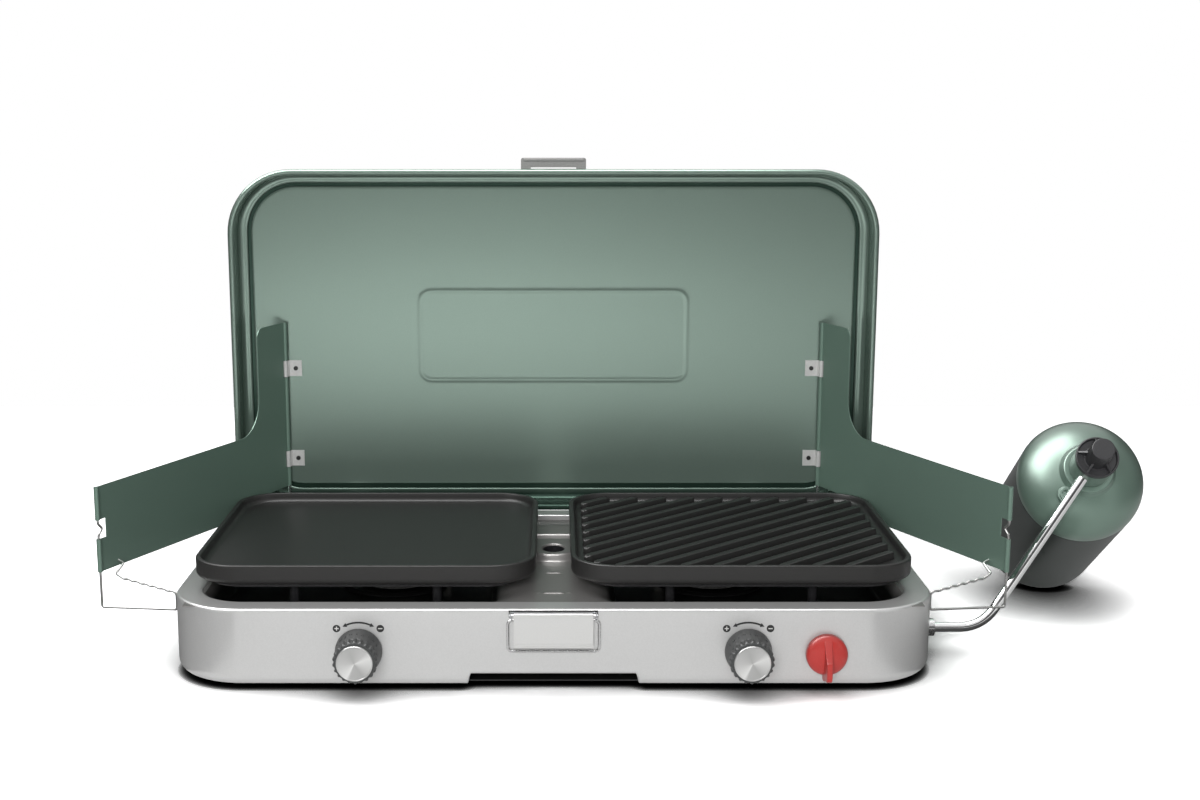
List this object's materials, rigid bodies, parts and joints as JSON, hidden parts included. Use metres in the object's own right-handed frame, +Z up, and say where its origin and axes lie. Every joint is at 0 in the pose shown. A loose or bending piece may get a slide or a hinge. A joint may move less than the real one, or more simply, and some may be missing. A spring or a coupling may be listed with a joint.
{
  "type": "camping stove",
  "caption": "Flat rectangular gas camping stove with an open lid, hinged side screens, a flat griddle, a ribbed grill plate, knobs and a gas bottle on a rigid tube.",
  "frame": {"origin": "on the table, under the middle of the base, in the plane of the feet", "axes": "+X to the user's right, +Y to the back, +Z up"},
  "size_m": [0.9212, 0.405, 0.4147],
  "materials": {
    "silver_paint": "satin silver paint",
    "galvanised_sheet": "bare zinc-coated sheet",
    "tray_enamel": "satin black enamel",
    "green_paint": "satin metallic green paint",
    "screen_paint": "satin dark green paint",
    "bright_steel": "bright plated steel",
    "steel_wire": "bright drawn wire",
    "plate_coating": "satin black non-stick coating",
    "grate_enamel": "black enamel",
    "burner_metal": "cast",
    "burner_cap_enamel": "black enamel",
    "brass": "turned",
    "chrome": "polished",
    "knob_plastic": "moulded",
    "spun_cap": "spun",
    "red_plastic": "moulded",
    "black_plastic": "moulded",
    "lead_sleeve": "silicone sleeve",
    "ceramic": "glazed",
    "foot_rubber": "moulded",
    "bottle_paint": "gloss green paint"
  },
  "bodies": {
    "base": {"base_shell": "silver_paint", "base_floor": "galvanised_sheet", "feet": "foot_rubber", "burner_tray": "tray_enamel", "tray_post": "galvanised_sheet", "tray_screw": "bright_steel", "burner_left": "burner_metal", "burner_right": "burner_metal", "burner_cap_left": "burner_cap_enamel", "burner_cap_right": "burner_cap_enamel", "mixer_tube_left": "galvanised_sheet", "mixer_tube_right": "galvanised_sheet", "valve_left": "brass", "valve_right": "brass", "manifold_pipe": "galvanised_sheet", "inlet_socket": "bright_steel", "igniter_module": "black_plastic", "electrode_left": "ceramic", "electrode_right": "ceramic", "spark_lead_left": "lead_sleeve", "spark_lead_right": "lead_sleeve", "latch_bracket": "galvanised_sheet", "latch_pin": "bright_steel", "base_hinge_leaves": "bright_steel", "hinge_pins": "bright_steel", "base_rivets": "bright_steel"},
    "lid": {"lid_shell": "green_paint", "lid_catch": "bright_steel", "lid_hinge_leaves": "bright_steel", "wing_clips": "bright_steel", "wing_rods": "steel_wire", "lid_rivets": "bright_steel"},
    "left_screen": {"wing_left": "screen_paint"},
    "right_screen": {"wing_right": "screen_paint"},
    "left_stay": {"stay_left": "steel_wire"},
    "right_stay": {"stay_right": "steel_wire"},
    "left_grate": {"grate_left": "grate_enamel"},
    "right_grate": {"grate_right": "grate_enamel"},
    "griddle": {"griddle_plate": "plate_coating"},
    "grill": {"grill_plate": "plate_coating"},
    "left_knob": {"knob_left": "knob_plastic", "knob_cap_left": "spun_cap", "stem_left": "brass"},
    "right_knob": {"knob_right": "knob_plastic", "knob_cap_right": "spun_cap", "stem_right": "brass"},
    "igniter": {"igniter_knob": "red_plastic", "igniter_shaft": "bright_steel"},
    "lever": {"latch_lever": "bright_steel"},
    "loop": {"latch_loop": "steel_wire"},
    "regulator": {"regulator_tube": "chrome", "regulator_body": "bottle_paint", "regulator_grip": "black_plastic"},
    "bottle": {"bottle_shell": "bottle_paint", "bottle_neck": "bottle_paint", "relief_valve": "bottle_paint"}
  },
  "joints": [
    {"name": "lid_hinge", "type": "hinge", "parent": "base", "child": "lid", "pos_m": [0, 0.17, 0.0665], "axis": [-1, 0, 0], "range_deg": [0, 12]},
    {"name": "left_screen_hinge", "type": "hinge", "parent": "lid", "child": "left_screen", "pos_m": [-0.268, 0.197, 0.2], "axis": [0, 0, -1], "range_deg": [0, 15]},
    {"name": "right_screen_hinge", "type": "hinge", "parent": "lid", "child": "right_screen", "pos_m": [0.268, 0.197, 0.2], "axis": [0, 0, 1], "range_deg": [0, 4]},
    {"name": "left_stay_swing", "type": "hinge", "parent": "left_screen", "child": "left_stay", "pos_m": [-0.38324, -0.09111, 0.1], "axis": [0, 0, -1], "range_deg": [0, 80]},
    {"name": "right_stay_swing", "type": "hinge", "parent": "right_screen", "child": "right_stay", "pos_m": [0.38324, -0.09111, 0.1], "axis": [0, 0, 1], "range_deg": [0, 80]},
    {"name": "left_grate_lift", "type": "slide", "parent": "base", "child": "left_grate", "axis": [0, 0, 1], "range_m": [0, 0.06]},
    {"name": "right_grate_lift", "type": "slide", "parent": "base", "child": "right_grate", "axis": [0, 0, 1], "range_m": [0, 0.06]},
    {"name": "griddle_lift", "type": "slide", "parent": "left_grate", "child": "griddle", "axis": [0, 0, 1], "range_m": [0, 0.06]},
    {"name": "grill_lift", "type": "slide", "parent": "right_grate", "child": "grill", "axis": [0, 0, 1], "range_m": [0, 0.06]},
    {"name": "left_knob_turn", "type": "hinge", "parent": "base", "child": "left_knob", "pos_m": [-0.157, -0.18, 0.0335], "axis": [0, 1, 0], "range_deg": [0, 270]},
    {"name": "right_knob_turn", "type": "hinge", "parent": "base", "child": "right_knob", "pos_m": [0.157, -0.18, 0.0335], "axis": [0, 1, 0], "range_deg": [0, 270]},
    {"name": "igniter_turn", "type": "hinge", "parent": "base", "child": "igniter", "pos_m": [0.22, -0.18, 0.0314], "axis": [0, 1, 0], "range_deg": [0, 90], "stiffness_Nm_per_rad": 0.05},
    {"name": "lever_swing", "type": "hinge", "parent": "base", "child": "lever", "pos_m": [0, -0.1693, 0.0637], "axis": [-1, 0, 0], "range_deg": [0, 100]},
    {"name": "loop_swing", "type": "hinge", "parent": "lever", "child": "loop", "pos_m": [0, -0.1678, 0.0596], "axis": [-1, 0, 0], "range_deg": [0, 75]},
    {"name": "regulator_swing", "type": "hinge", "parent": "base", "child": "regulator", "pos_m": [0.315, -0.071, 0.0226], "axis": [1, 0, 0], "range_deg": [0, 20]},
    {"name": "bottle_turn", "type": "hinge", "parent": "regulator", "child": "bottle", "pos_m": [0.468, -0.0045, 0.13614], "axis": [-0.0755, -0.8627, 0.5], "range_deg": [0, 720]}
  ]
}
